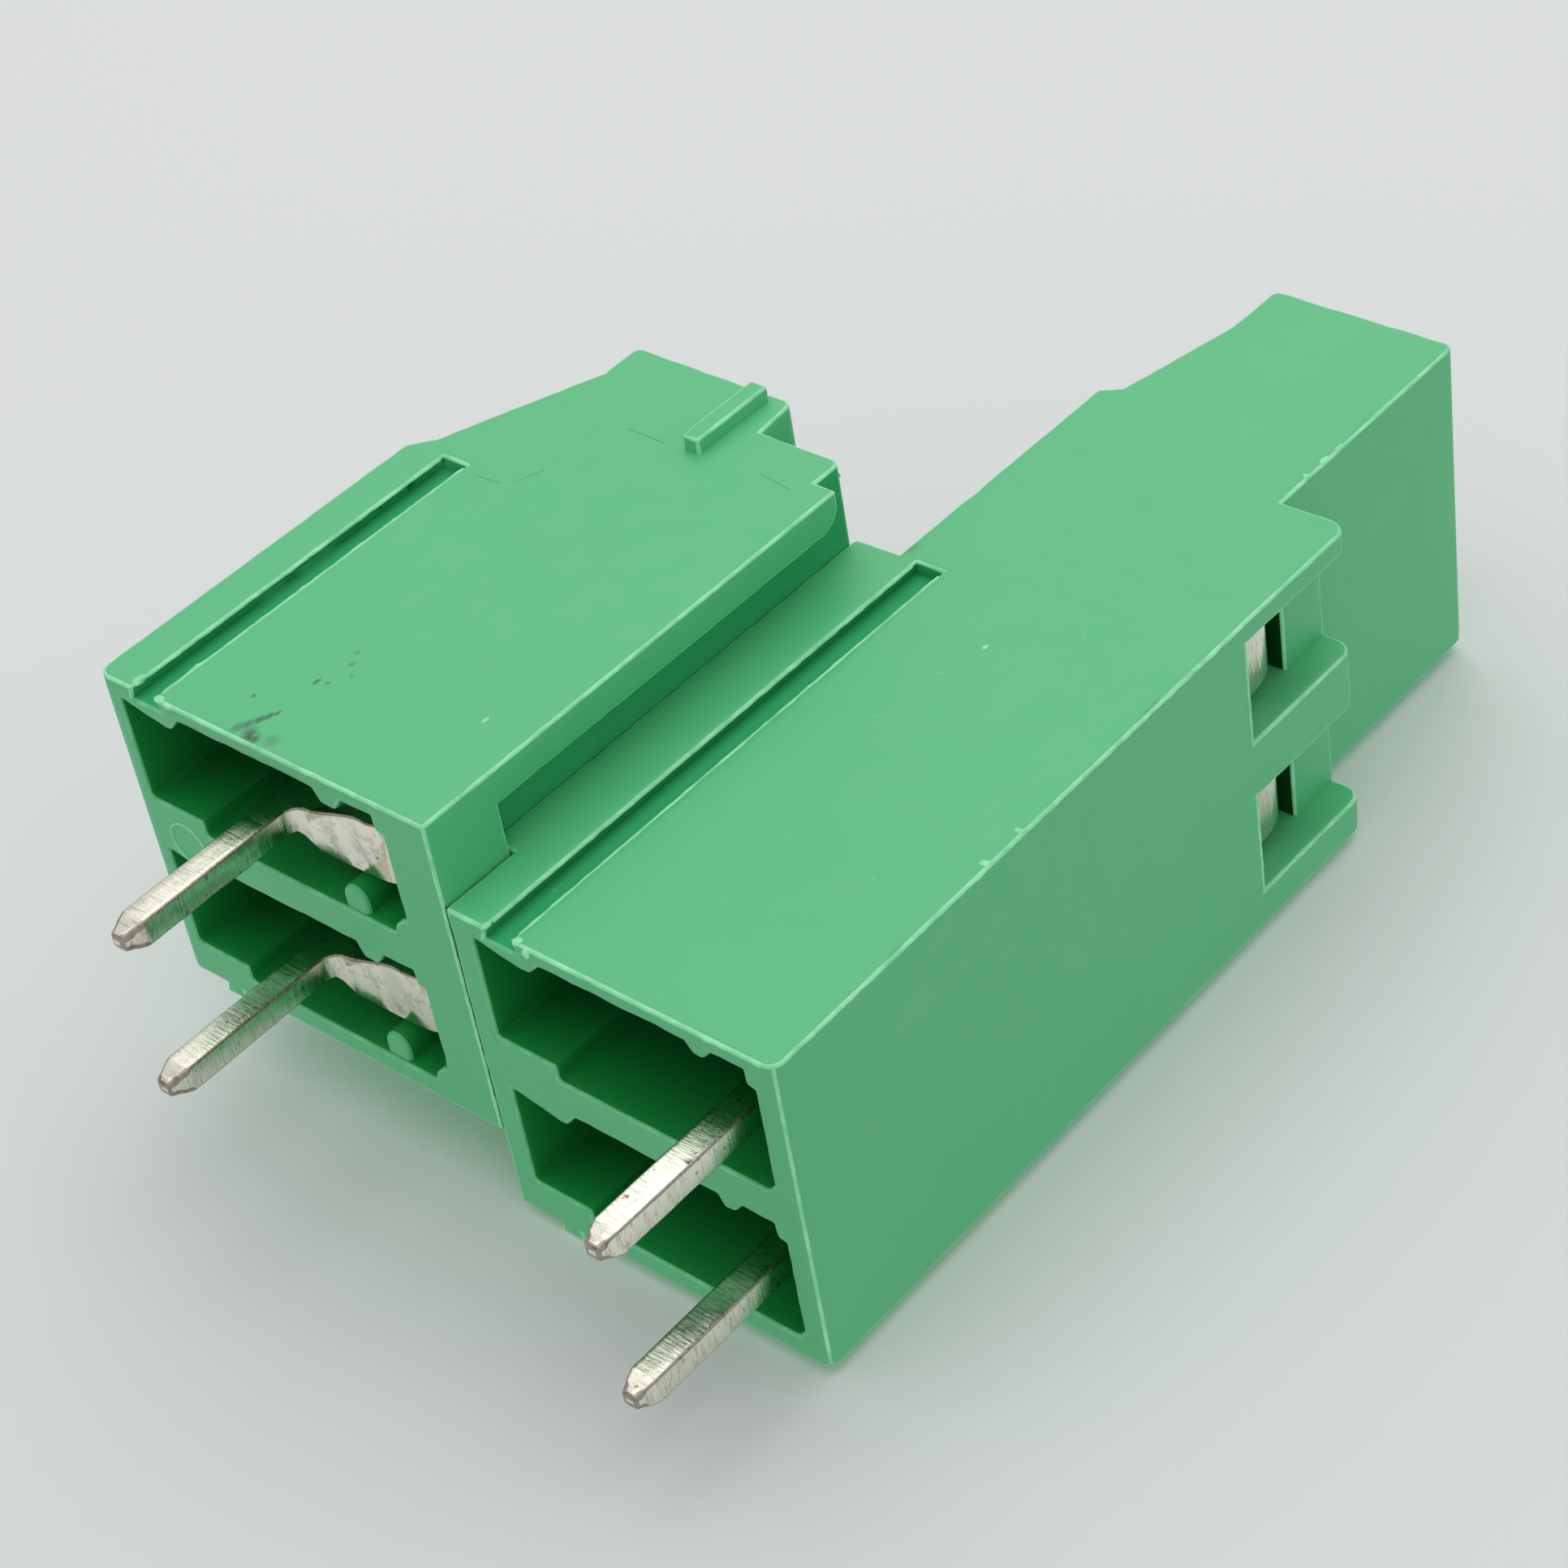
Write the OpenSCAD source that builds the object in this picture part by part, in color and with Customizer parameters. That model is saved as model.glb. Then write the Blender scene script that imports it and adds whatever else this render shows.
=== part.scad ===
// Two-level screw terminal block for a printed circuit board, two poles on each level.
// A short front housing and a tall rear housing stand one behind the other, half a pitch apart.
// Each pole has a tinned contact with a square solder pin, a rising cage and a captive screw.
// The origin is the middle of the footprint on the board: pins point to -Z, wires come in along +Y.
// Inside the modules x runs from the middle of a housing or pole, and y from the block's front.

/* [Block] */
// Distance between neighbouring poles of one housing
pitch = 5.08; // [5.06:0.01:5.16]
// Depth of the whole block on the board
block_depth = 22.3; // [22.25:0.05:22.5]
// Gap that stays open between the two housings
joint_gap = 0.05; // [0.03:0.01:0.08]

/* [Lower housing] */
// Depth of the lower housing
lower_depth = 11.8; // [11.78:0.01:11.82]
// Height of the lower housing
lower_top = 18; // [17.9:0.05:18.3]
// Height of the shelf behind its driver holes
lower_shelf = 16.52; // [16.4:0.02:16.7]
// Height at which its upright front wall ends
lower_front_top = 11.35; // [11:0.05:11.8]
// Depth of the recess that takes the pad of the upper housing
recess_depth = 0.7; // [0.6:0.05:0.8]
// Height of the band below that recess
band_height = 2.4; // [2.2:0.1:2.6]
// Width of the upright strip beside the recess
strip_width = 1.05; // [0.9:0.05:1.2]
// How far the key rib stands out of the side
key_proud = 0.45; // [0.3:0.05:0.6]

/* [Upper housing] */
// Height of the upper housing
upper_top = 31.7; // [31.6:0.05:32]
// Height of the shelf above its back windows
upper_shelf = 23.43; // [23.2:0.05:23.6]
// Depth from the block's front to the wall above that shelf
upper_back = 20; // [19.95:0.05:20.1]
// Depth from the block's front to its front wall above the pad
upper_front = 12.55; // [12.5:0.01:12.6]
// Lower edge of the back windows
window_bottom = 18.7; // [18.4:0.1:19]
// Upper edge of the back windows
window_top = 21.6; // [21.4:0.1:21.8]
// How far the wall above a window lies behind the side plates
window_recess = 1; // [0.8:0.05:1.1]

/* [Cells and grooves] */
// Reach of a cell from its pole towards -X
cell_minus = 1.88; // [1.82:0.01:1.94]
// Reach of a cell from its pole towards +X
cell_plus = 2.04; // [1.95:0.01:2.08]
// Depth of the grooves on the +X sides
groove_depth = 0.41; // [0.3:0.01:0.42]
// Width of the mouth of those grooves
groove_mouth = 0.84; // [0.8:0.02:0.9]
// How far the tongues stand out of the -X sides
tongue_proud = 0.33; // [0.2:0.01:0.36]

/* [Contacts] */
// Thickness of the strip
strip_t = 0.8; // [0.76:0.01:0.82]
// Width of the strip inside the lower housing, and of every current bar
strip_w = 1.9; // [1.8:0.05:1.9]
// Width of the strip behind the back windows
upper_strip_w = 2.3; // [2.1:0.05:2.4]
// Width of the solder pins
pin_w = 0.78; // [0.7:0.02:0.9]
// Length of the lower pins below the board plane
lower_pin_len = 5.2; // [4.6:0.1:5.6]
// Length of the upper pins below the board plane
upper_pin_len = 4.85; // [4.6:0.05:5.6]
// Distance from the block's front to the first lower pin
lower_pin_y_1 = 5.5; // [5.4:0.05:5.9]
// Distance from the block's front to the second lower pin
lower_pin_y_2 = 5.7; // [5.4:0.05:5.9]
// Distance from the block's front to the upper pins
upper_pin_y = 20.55; // [20.4:0.01:20.6]

/* [Clamps] */
// Radius of a wire passage
wire_r = 1; // [0.8:0.05:1]
// Height of the space for a wire inside an open cage
cage_opening = 2.6; // [2.4:0.1:2.6]
// Travel of a cage
cage_travel = 2.2; // [1.8:0.1:2.3]
// Radius of the thread of a screw
screw_r = 1.25; // [1.1:0.05:1.25]
// Radius of the head of a screw
head_r = 1.72; // [1.6:0.02:1.74]
// Height of the head of a screw
head_h = 1.7; // [1.5:0.1:1.8]
// Radius of the driver holes
driver_r = 1.55; // [1.4:0.05:1.6]
// Play round the cages and screw heads
play = 0.05; // [0.04:0.01:0.08]

/* [Hidden] */

$fn = 64;
past = 1; // how far a cut runs past the face that it opens
housing_w = 2 * pitch;
lower_x = pitch / 4;
upper_x = -pitch / 4;
pole_x = [-pitch / 2, pitch / 2];

// Outer forms
corner_r = 0.3;
slope_foot = [0.58, lower_front_top + 0.61];
slope_head = [2.55, lower_top - 1.42];
tower_back = 8.2;
recess_floor = lower_depth - recess_depth;
side_strip_top = 15.45;
upper_wall = lower_depth + joint_gap;
pad_bottom = band_height + joint_gap;
pad_top = 16.6;
plate_back = 22.1;
plate_r = 0.55;
brow = [[upper_front + 0.07, upper_top - 6.4], [13.2, upper_top - 6], [14.1, upper_top - 2.05]];

// Cells, measured from the block's front
lower_cell = [0.68, 10.15];
upper_cell = [12.6, 21.55];
lower_cell_h = 3.4;
upper_cell_h = 16.3;
cell_block = [0.5, 1.95];
cell_corner = [0.3, 0.25];
cell_step = [0.5, 0.3];
groove_offset = 1.0;
groove_under = 0.12;
rib_r = 0.42;
rib_y = 8.15;
rib_proud = 0.75;
lower_nub = [7.8, 8.8];
upper_nub = [19.46, 20.28];
nub_proud = 0.34;
window_minus = 1.4;
window_plus = 1.85;

// Clamps: a level is the height of a current bar's underside, and an axis is a screw's y
lower_level = 6.5;
upper_level = 20.2;
lower_axis = 5.4;
upper_axis = 17;
cage_w = 3.5;
cage_d = 4;
cage_side = 0.45;
cage_floor = 0.7;
cage_roof = 1.5;
wire_drop = 1.15;
cage_above = strip_t + 0.3;
pocket_top = cage_above + cage_roof + cage_travel + 0.5;
head_z = 6.05;
head_room = head_z + head_h + 2 * play;
bar_reach = 2.4;
pin_tip = 0.17;
pin_taper = 0.6;
funnel_r = 1.65;
funnel_d = 0.9;

function arc(c, r, a0, a1, n = 5) =
    [for (i = [0:n]) c + r * [cos(a0 + (a1 - a0) * i / n), sin(a0 + (a1 - a0) * i / n)]];

// A box between two corners
module block(low, high) {
    translate(low) cube(high - low);
}

// An outline of y and z, from one x to another
module along_x(x0, x1, points) {
    translate([x0, 0, 0]) rotate([90, 0, 90]) linear_extrude(height = x1 - x0) polygon(points);
}

// An outline of x and z, from one y to another
module along_y(y0, y1, points) {
    translate([0, y1, 0]) rotate([90, 0, 0]) linear_extrude(height = y1 - y0) polygon(points);
}

// An outline of x and y, from one z to another
module along_z(z0, z1, points) {
    translate([0, 0, z0]) linear_extrude(height = z1 - z0) polygon(points);
}

// The open cell below a pole: a raised block at -X, and at +X a bulge round the groove
// and a step in the back corner
module cell(span, height) {
    y0 = span[0];
    y1 = span[1];
    left = -cell_minus;
    raised = left + cell_block[0];
    along_z(-past, height, [
        [raised, y0], [cell_plus - 0.1, y0], [cell_plus - 0.42, y0 + 1.6],
        [cell_plus - 0.4, y0 + 1.85], [cell_plus, y0 + 2.2], [cell_plus, y1 - cell_step[1]],
        [cell_plus - cell_step[0] + 0.05, y1 - cell_step[1] + 0.05], [cell_plus - cell_step[0], y1],
        [left + cell_corner[0], y1], [left, y1 - cell_corner[1]],
        [left, y0 + cell_block[1]], [raised, y0 + cell_block[1]]
    ]);
}

// Dovetail groove in the +X side
module groove(y_mid, top) {
    half = groove_mouth / 2;
    side = housing_w / 2;
    along_z(-past, top, [
        [side + past, y_mid - half], [side + past, y_mid + half], [side, y_mid + half],
        [side - groove_depth, y_mid + half + groove_under],
        [side - groove_depth, y_mid - half - groove_under], [side, y_mid - half]
    ]);
}

// Dovetail tongue on the -X side, which fits the groove of a neighbour
module tongue(y_mid, top) {
    foot = groove_mouth / 2 - 0.06;
    side = -housing_w / 2;
    along_z(0, top, [
        [side + 0.1, y_mid - foot], [side, y_mid - foot],
        [side - tongue_proud, y_mid - foot - 0.08], [side - tongue_proud, y_mid + foot + 0.08],
        [side, y_mid + foot], [side + 0.1, y_mid + foot]
    ]);
}

// Everything that one clamp needs cut out: cage pocket, head room, driver hole and wire passage
module clamp_space(level, axis, front, pocket_bottom, top) {
    half_w = cage_w / 2 + play;
    half_d = cage_d / 2 + play;
    block([-half_w, axis - half_d, pocket_bottom], [half_w, axis + half_d, level + pocket_top]);
    translate([0, axis, level + pocket_top - 0.1])
        cylinder(r = head_r + play, h = head_room - pocket_top + 0.1);
    translate([0, axis, level + pocket_top])
        cylinder(r = driver_r, h = top - level - pocket_top + past);
    translate([0, axis, top - 0.3])
        cylinder(r1 = driver_r, r2 = driver_r + 0.4, h = 0.4);
    translate([0, axis, level - wire_drop]) rotate([90, 0, 0])
        cylinder(r = wire_r, h = axis - front + past);
    translate([0, front + funnel_d, level - wire_drop]) rotate([90, 0, 0])
        cylinder(r1 = wire_r, r2 = 2 * funnel_r - wire_r, h = 2 * funnel_d);
    block(
        [-strip_w / 2 - play, axis - bar_reach - play, level - 0.01],
        [strip_w / 2 + play, axis, level + strip_t + play]
    );
}

module lower_housing() {
    color("mediumseagreen") difference() {
        union() {
            along_x(-housing_w / 2, housing_w / 2, concat(
                [[0, 0], [0, lower_front_top], slope_foot, slope_head],
                arc([slope_head[0] + corner_r, lower_top - corner_r], corner_r, 180, 90),
                arc([tower_back - corner_r, lower_top - corner_r], corner_r, 90, 0),
                [[tower_back + 0.1, lower_shelf]],
                arc([recess_floor - corner_r, lower_shelf - corner_r], corner_r, 90, 0),
                [[recess_floor, 0]]
            ));
            block(
                [-housing_w / 2, recess_floor - 0.1, 0],
                [housing_w / 2, lower_depth, band_height]
            );
            lower_side_strip();
            tongue(groove_offset + lower_cell[0] + 0.09, lower_front_top - 0.15);
            block(
                [housing_w / 2 - 0.1, 6.95, 14.9],
                [housing_w / 2 + key_proud, 7.55, lower_top - 0.2]
            );
        }
        groove(groove_offset + lower_cell[0] + 0.09, lower_front_top + 0.1);
        for (x = pole_x) translate([x, 0, 0]) {
            cell(lower_cell, lower_cell_h);
            clamp_space(lower_level, lower_axis, 0, lower_cell_h - 0.1, lower_top);
            block(
                [-strip_w / 2 - play, lower_axis, lower_cell_h - 0.1],
                [strip_w / 2 + play, lower_cell[1], lower_level + strip_t + 0.2]
            );
        }
    }
    color("mediumseagreen") for (x = pole_x) translate([x, 0, 0]) lower_cell_ribs();
}

// Upright strip at the +X end of the recess, with a round inner corner at its top
module lower_side_strip() {
    inner = housing_w / 2 - strip_width;
    round_r = 0.7;
    along_y(recess_floor - 0.1, lower_depth, concat(
        [[inner, 0], [housing_w / 2, 0], [housing_w / 2, side_strip_top]],
        arc([inner + round_r, side_strip_top - round_r], round_r, 90, 180)
    ));
}

// Blunt nub on the +X wall of a cell
module nub(span, proud, height) {
    along_z(0, height, [
        [cell_plus + 0.05, span[0]], [cell_plus + 0.05, span[1]], [cell_plus, span[1]],
        [cell_plus - proud, span[1] - 0.3], [cell_plus - proud, span[0] + 0.2], [cell_plus, span[0]]
    ]);
}

// In a lower cell: a round-nosed guide and a corner bump on the -X wall, and a nub at +X
module lower_cell_ribs() {
    left = -cell_minus;
    back = lower_cell[1];
    nose = left + rib_proud - rib_r;
    height = lower_cell_h + 0.1;
    translate([0, 0, 0.1]) linear_extrude(height = height) union() {
        translate([nose, rib_y]) circle(r = rib_r);
        translate([left - 0.1, rib_y - rib_r]) square([nose - left + 0.1, 2 * rib_r]);
    }
    along_z(0, height, [
        [left - 0.1, back - 0.6], [left, back - 0.6], [left + 0.3, back - 0.48],
        [left + 0.62, back - 0.15], [left + 0.65, back + 0.1], [left - 0.1, back + 0.1]
    ]);
    nub(lower_nub, nub_proud + 0.1, height);
}

module upper_housing() {
    color("mediumseagreen") difference() {
        union() {
            along_x(-housing_w / 2, housing_w / 2, concat(
                [[upper_wall, 0], [upper_wall, pad_bottom], [recess_floor, pad_bottom]],
                arc([recess_floor + 0.15, pad_top - 0.15], 0.15, 180, 90, 3),
                [[upper_front, pad_top + 0.05]],
                brow,
                arc([brow[2][0] + corner_r, upper_top - corner_r], corner_r, 180, 90),
                arc([upper_back - corner_r, upper_top - corner_r], corner_r, 90, 0),
                [[upper_back, upper_shelf]],
                arc([plate_back - plate_r, upper_shelf - plate_r], plate_r, 90, 0),
                [[plate_back, window_bottom], [block_depth, 0]]
            ));
            tongue(groove_offset + upper_cell[0], pad_top - 0.3);
        }
        groove(groove_offset + upper_cell[0], pad_top);
        for (x = pole_x) translate([x, 0, 0]) {
            cell(upper_cell, upper_cell_h);
            clamp_space(upper_level, upper_axis, upper_front, upper_cell_h - 0.1, upper_top);
            block(
                [-window_minus, upper_axis + 1, upper_cell_h - 0.1],
                [window_plus, upper_cell[1], window_top]
            );
            block(
                [-window_minus, upper_cell[1] - 1, window_bottom],
                [window_plus, block_depth + past, window_top]
            );
            block(
                [-window_minus, plate_back - window_recess, window_bottom],
                [window_plus, block_depth + past, upper_shelf + past]
            );
        }
    }
    color("mediumseagreen") for (x = pole_x)
        translate([x, 0, 0]) nub(upper_nub, nub_proud, upper_cell_h + 0.1);
}

// Contact of the lower level: bar, strip down the back wall, leg forward and pin
module lower_contact(pin_y) {
    t = strip_t;
    b = lower_level;
    back = lower_cell[1];
    foot = 0.55;
    foot_r = 0.55;
    bar_r = 0.3;
    knee_r = 0.5;
    front = pin_y - t / 2;
    knee = [front + knee_r + t, foot - knee_r];
    heel = [back - foot_r - t, foot + t + foot_r];
    neck = [back - bar_r - t, b - bar_r];
    wide = strip_w / 2;
    slim = pin_w / 2;
    end = -lower_pin_len;
    color("silver") intersection() {
        along_x(-wide, wide, concat(
            [[lower_axis - bar_reach, b]],
            arc(neck, bar_r, 90, 0),
            arc(heel, foot_r, 0, -90),
            arc(knee, knee_r + t, 90, 180),
            [[front, end + pin_taper], [front + pin_tip, end], [front + t - pin_tip, end]],
            [[front + t, end + pin_taper]],
            arc(knee, knee_r, 180, 90),
            arc(heel, foot_r + t, -90, 0),
            arc(neck, bar_r + t, 0, 90),
            [[lower_axis - bar_reach, b + t]]
        ));
        union() {
            block([-wide, 0, foot + t + 0.5], [wide, lower_depth, b + 2 * t]);
            along_z(end - past, foot + t + 0.6, [
                [-wide, back + past], [-wide, pin_y + 0.95], [-wide + 0.15, pin_y + 0.75],
                [-slim, pin_y + 0.5], [-slim, 0],
                [slim, 0], [slim, pin_y + 1], [slim + 0.1, pin_y + 1.3],
                [wide - 0.1, pin_y + 2.3], [wide, pin_y + 2.7], [wide, back + past]
            ]);
        }
        along_y(0, lower_depth, [
            [-wide, b + 2 * t], [-wide, -1], [-slim, -1.01], [-slim, end + pin_taper],
            [-slim + pin_tip, end], [slim - pin_tip, end], [slim, end + pin_taper], [slim, -1.01],
            [wide, -1], [wide, b + 2 * t]
        ]);
    }
}

// Contact of the upper level: pin and upright strip with a rounded head, and the bar in front of it
module upper_contact() {
    t = strip_t;
    b = upper_level;
    front = upper_pin_y - t / 2;
    lean = 0.2;
    head_r1 = 0.9;
    head_r2 = 0.4;
    top = b + t;
    wide = upper_strip_w / 2;
    slim = pin_w / 2;
    end = -upper_pin_len;
    shoulder = 3.4;
    color("silver") {
        intersection() {
            along_x(-wide, wide, concat(
                [[front + lean, top], [front, 0], [front, end + pin_taper], [front + pin_tip, end]],
                [[front + t - pin_tip, end], [front + t, end + pin_taper], [front + t, 0]],
                arc([front + t + lean - 0.3, top - 0.3], 0.3, 0, 90, 3)
            ));
            along_y(upper_axis - 2 * bar_reach, block_depth, concat(
                arc([-wide + head_r1, top - head_r1], head_r1, 90, 180),
                [[-wide, shoulder + 0.8], [-slim, shoulder], [-slim, end + pin_taper]],
                [[-slim + pin_tip, end], [slim - pin_tip, end], [slim, end + pin_taper]],
                [[slim, shoulder], [wide, shoulder + 0.8]],
                arc([wide - head_r2, top - head_r2], head_r2, 0, 90)
            ));
        }
        along_x(-strip_w / 2 + 0.2, strip_w / 2, [
            [upper_axis - bar_reach, b], [front + 0.1, b],
            [front + lean + 0.1, top - 0.05], [front + lean, top], [upper_axis - bar_reach, top]
        ]);
    }
}

// Rising cage round a current bar, with the thread in its roof
module cage(level, axis) {
    half = cage_w / 2;
    low = level - cage_opening;
    high = level + cage_above;
    color("gainsboro") translate([0, axis, 0]) difference() {
        block(
            [-half, -cage_d / 2, low - cage_floor],
            [half, cage_d / 2, high + cage_roof]
        );
        block(
            [-half + cage_side, -cage_d / 2 - past, low],
            [half - cage_side, cage_d / 2 + past, high]
        );
        translate([0, 0, high - past]) cylinder(r = screw_r + play, h = cage_roof + 2 * past);
    }
}

// Captive clamping screw with a slotted head
module clamp_screw(level, axis) {
    tip = strip_t + 0.05;
    point = 0.3;
    slot_w = 0.7;
    slot_d = 0.9;
    color("lightsteelblue") translate([0, axis, level]) difference() {
        union() {
            translate([0, 0, tip]) cylinder(r1 = screw_r - point, r2 = screw_r, h = point);
            translate([0, 0, tip + point]) cylinder(r = screw_r, h = head_z - tip - point + 0.1);
            translate([0, 0, head_z]) cylinder(r = head_r, h = head_h - 0.2);
            translate([0, 0, head_z + head_h - 0.2])
                cylinder(r1 = head_r, r2 = head_r - 0.2, h = 0.2);
        }
        block(
            [-head_r - past, -slot_w / 2, head_z + head_h - slot_d],
            [head_r + past, slot_w / 2, head_z + head_h + past]
        );
    }
}

// Puts a piece that was drawn from a housing's middle in its place on the block
module on_lower(pole = -1) {
    translate([lower_x + (pole < 0 ? 0 : pole_x[pole]), -block_depth / 2, 0]) children();
}

module on_upper(pole = -1) {
    translate([upper_x + (pole < 0 ? 0 : pole_x[pole]), -block_depth / 2, 0]) children();
}

on_lower() lower_housing();
on_upper() upper_housing();
on_lower(0) lower_contact(lower_pin_y_1);  // lower_contact_1
on_lower(1) lower_contact(lower_pin_y_2);  // lower_contact_2
on_upper(0) upper_contact();  // upper_contact_1
on_upper(1) upper_contact();  // upper_contact_2
on_lower(0) cage(lower_level, lower_axis);  // lower_cage_1
on_lower(1) cage(lower_level, lower_axis);  // lower_cage_2
on_upper(0) cage(upper_level, upper_axis);  // upper_cage_1
on_upper(1) cage(upper_level, upper_axis);  // upper_cage_2
on_lower(0) clamp_screw(lower_level, lower_axis);  // lower_screw_1
on_lower(1) clamp_screw(lower_level, lower_axis);  // lower_screw_2
on_upper(0) clamp_screw(upper_level, upper_axis);  // upper_screw_1
on_upper(1) clamp_screw(upper_level, upper_axis);  // upper_screw_2
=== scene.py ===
import math
from collections import namedtuple
from functools import cached_property

import bmesh
import bpy
from mathutils import Matrix, Vector, noise


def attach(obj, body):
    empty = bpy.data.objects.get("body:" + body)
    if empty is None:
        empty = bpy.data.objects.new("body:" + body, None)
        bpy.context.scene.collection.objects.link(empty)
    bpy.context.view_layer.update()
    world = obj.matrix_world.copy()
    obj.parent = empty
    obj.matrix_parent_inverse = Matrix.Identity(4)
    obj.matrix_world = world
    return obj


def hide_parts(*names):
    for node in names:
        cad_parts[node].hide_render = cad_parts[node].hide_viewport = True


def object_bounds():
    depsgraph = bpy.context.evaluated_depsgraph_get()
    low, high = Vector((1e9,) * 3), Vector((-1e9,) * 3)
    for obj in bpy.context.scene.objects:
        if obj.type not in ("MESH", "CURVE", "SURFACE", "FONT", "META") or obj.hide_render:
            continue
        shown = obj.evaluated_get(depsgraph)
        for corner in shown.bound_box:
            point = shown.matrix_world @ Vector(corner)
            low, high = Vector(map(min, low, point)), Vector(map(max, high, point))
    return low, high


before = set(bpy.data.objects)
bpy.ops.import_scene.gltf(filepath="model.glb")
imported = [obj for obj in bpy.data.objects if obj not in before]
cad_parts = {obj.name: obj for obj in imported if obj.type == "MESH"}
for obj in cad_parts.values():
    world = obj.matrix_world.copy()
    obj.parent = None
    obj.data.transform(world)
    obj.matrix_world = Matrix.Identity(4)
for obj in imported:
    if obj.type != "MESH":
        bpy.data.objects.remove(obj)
cad_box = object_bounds()

# The block in mm: x runs from its middle, y from its front face and z from the board
MM = 0.001
HAIR = 2e-6  # too small a gap to see, in metres
SLACK = 0.01  # how exactly places are compared, in mm
PITCH = 5.08
POLES = (-PITCH / 2, PITCH / 2)
BLOCK_DEPTH = 22.3
LOWER_X, UPPER_X = PITCH / 4, -PITCH / 4
LOWER_SIDE, UPPER_SIDE = LOWER_X + PITCH, UPPER_X + PITCH  # the outer +X faces
LOWER_TOP, UPPER_TOP = 18.0, 31.7
LOWER_BACK, FOOT_BACK = 11.1, 11.8
UPPER_FRONT, HEAD_BACK = 12.55, 20.0
PAD_BACK, PAD_FOOT = 22.1, 18.7  # the pads behind the upper housing's windows
FLOOR_X = -6.72  # the block lies on its -X side


def at(x, y, z):
    """A point of the block, in metres."""
    return Vector((x * MM, (y - BLOCK_DEPTH / 2) * MM, z * MM))


def y_of(point):
    """How far behind the block's front face a point lies, in mm."""
    return point.y / MM + BLOCK_DEPTH / 2


def z_of(point):
    """How high above the board a point lies, in mm."""
    return point.z / MM


# Camera, fitted to the photo's edges
CAMERA_AT = (61.375, 56.203, -40.352)
CAMERA_RIGHT = (-0.139312, 0.756108, 0.639447)
CAMERA_DOWN = (-0.761589, 0.330913, -0.557207)
LENS, SENSOR = 85.31, 36
NEAREST, FARTHEST = 0.001, 10

camera = bpy.data.objects.new("camera", bpy.data.cameras.new("camera"))
bpy.context.scene.collection.objects.link(camera)
right = Vector(CAMERA_RIGHT).normalized()
up = -(Vector(CAMERA_DOWN) - Vector(CAMERA_DOWN).dot(right) * right).normalized()
turn = Matrix((right, up, right.cross(up))).transposed()
camera.matrix_world = Matrix.Translation(Vector(CAMERA_AT) * MM) @ turn.to_4x4()
camera.data.sensor_width = SENSOR
camera.data.lens = LENS
camera.data.clip_start = NEAREST
camera.data.clip_end = FARTHEST
bpy.context.scene.camera = camera
bpy.context.scene.view_settings.view_transform = "Standard"


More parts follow.
